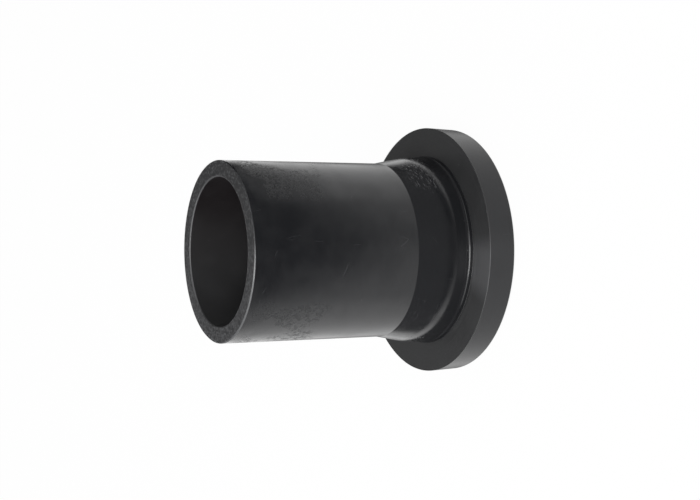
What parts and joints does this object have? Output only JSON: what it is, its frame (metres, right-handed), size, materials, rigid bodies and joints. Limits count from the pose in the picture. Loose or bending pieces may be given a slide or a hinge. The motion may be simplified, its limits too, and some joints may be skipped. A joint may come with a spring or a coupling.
{
  "type": "lap joint stub end",
  "caption": "Black polyethylene lap joint stub end: a plain spigot for butt welding that flares into a thick grooved collar, held by a loose backing ring.",
  "frame": {"origin": "centre of the jointing face, in the plane of the face, on which the part stands", "axes": "+Z along the bore's axis, from the jointing face to the end of the spigot; X and Y are free, because the part is round"},
  "size_m": [0.157, 0.157, 0.162],
  "materials": {
    "black_polyethylene": "moulded black polyethylene with a soft sheen, dull on the machined end"
  },
  "bodies": {
    "root": {"stub_end": "black_polyethylene"}
  },
  "joints": []
}
